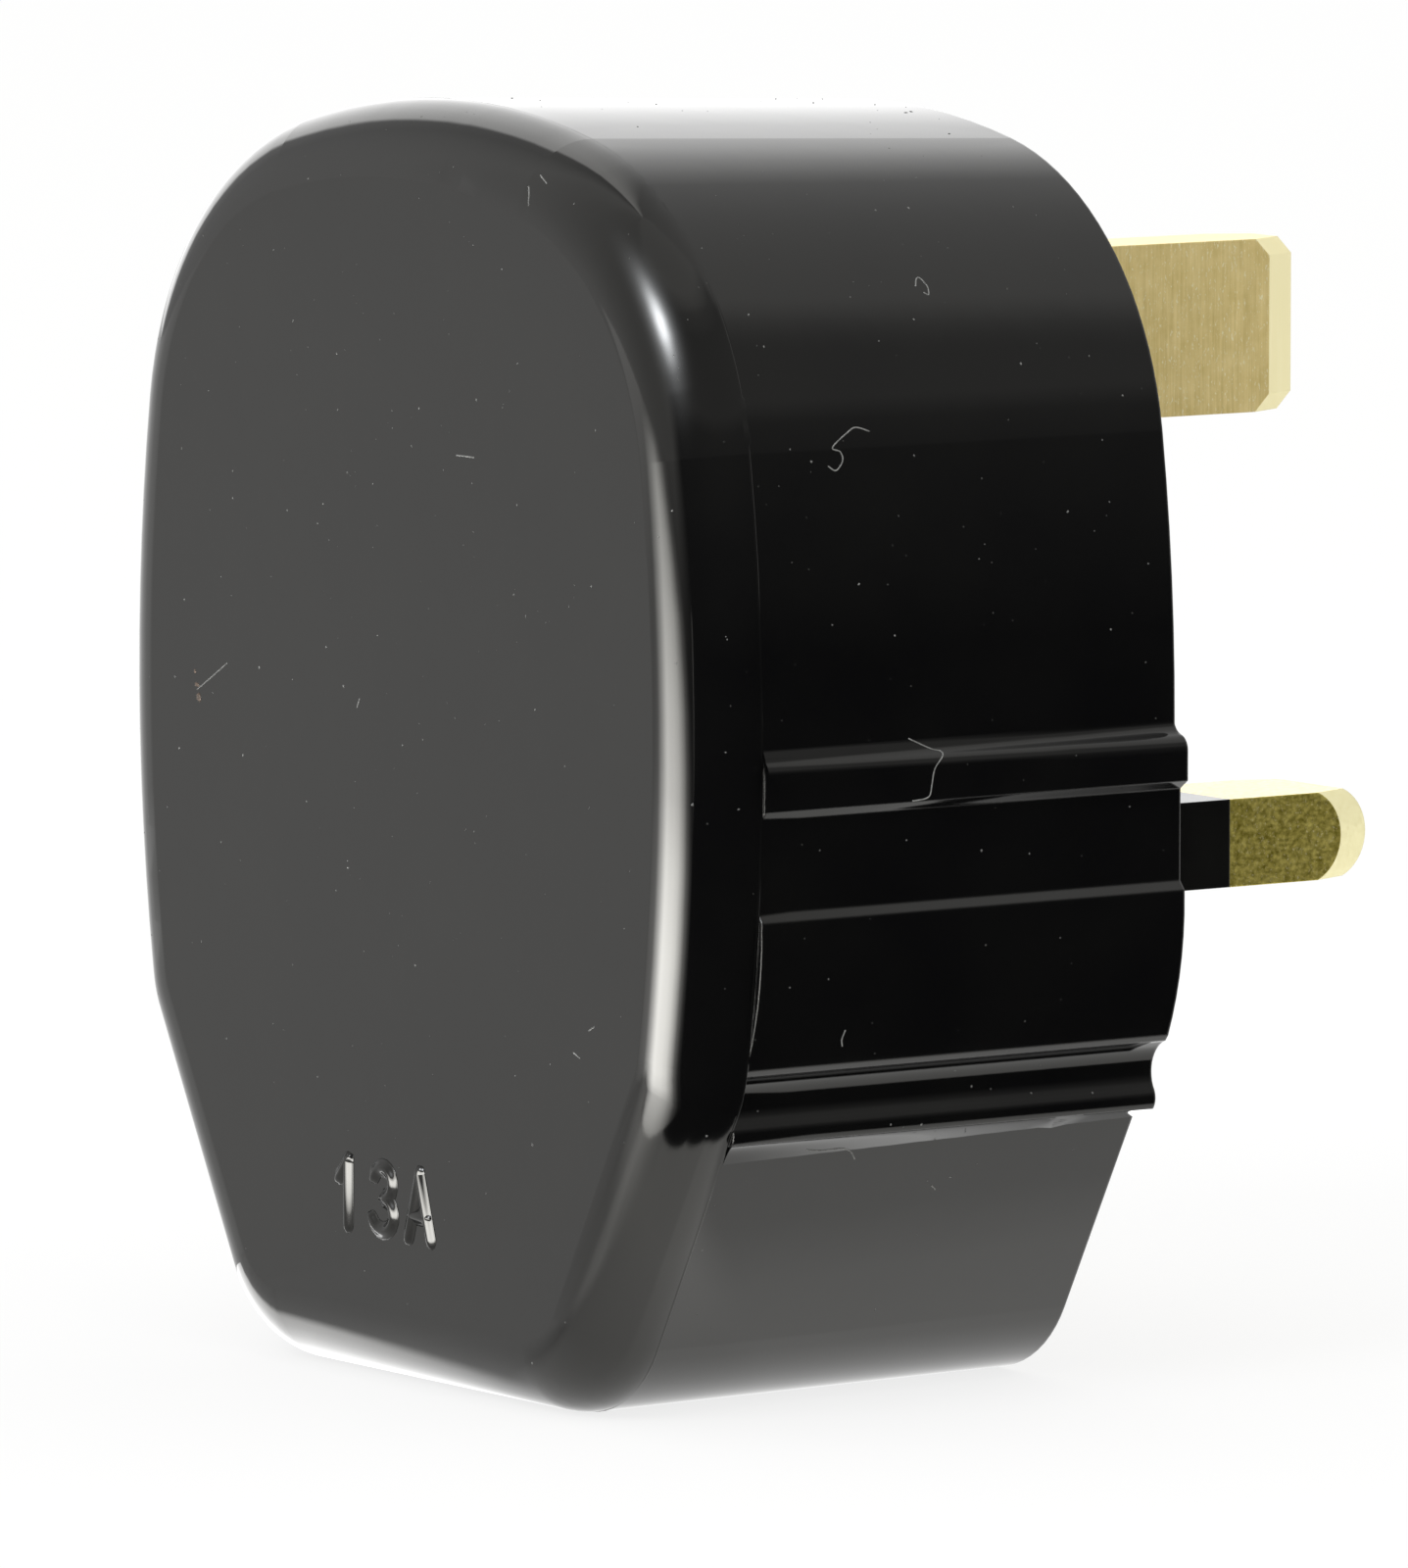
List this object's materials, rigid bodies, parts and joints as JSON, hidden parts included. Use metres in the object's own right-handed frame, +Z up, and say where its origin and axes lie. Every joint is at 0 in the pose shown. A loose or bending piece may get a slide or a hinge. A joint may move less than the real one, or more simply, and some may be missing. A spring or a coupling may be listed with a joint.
{
  "type": "uk three pin plug",
  "caption": "Fused mains plug with rectangular brass pins: a glossy moulded cover with rounded back edge, side finger grips and tapered foot round a base holding terminals, fuse and cord grip",
  "frame": {"origin": "on the pin face, midway between the line and neutral pins", "axes": "+Y out along the pins, +Z up to the earth pin, +X to the line pin; the plug stands on its foot"},
  "size_m": [0.0474, 0.0491, 0.0578],
  "materials": {
    "black_moulding": "glossy moulded thermoset with fine dust and small scratches",
    "black_base": "glossy moulded thermoset",
    "black_sleeve": "satin insulating sleeve",
    "earth_brass": "brushed across the pin",
    "pin_brass": "worn and a little tarnished",
    "clip_brass": "rolled strip",
    "terminal_brass": "machined",
    "fuse_ceramic": "unglazed tube",
    "fuse_metal": "plated metal",
    "screw_steel": "plated, slotted",
    "grey_fibre": "pressed fibre"
  },
  "bodies": {
    "root": {"cover": "black_moulding", "base": "black_base", "line_sleeve": "black_sleeve", "neutral_sleeve": "black_sleeve", "earth_pin": "earth_brass", "line_pin": "pin_brass", "neutral_pin": "pin_brass", "line_fuse_clip": "clip_brass", "terminal_fuse_clip": "clip_brass", "line_terminal": "terminal_brass", "cover_insert": "terminal_brass", "terminal_screws": "terminal_brass", "fuse_body": "fuse_ceramic", "fuse_cap_lower": "fuse_metal", "fuse_cap_upper": "fuse_metal", "fuse_wire": "fuse_metal", "cover_screw": "screw_steel", "cord_grip_screws": "screw_steel", "cord_grip": "grey_fibre", "screw_retainer": "grey_fibre"}
  },
  "joints": []
}
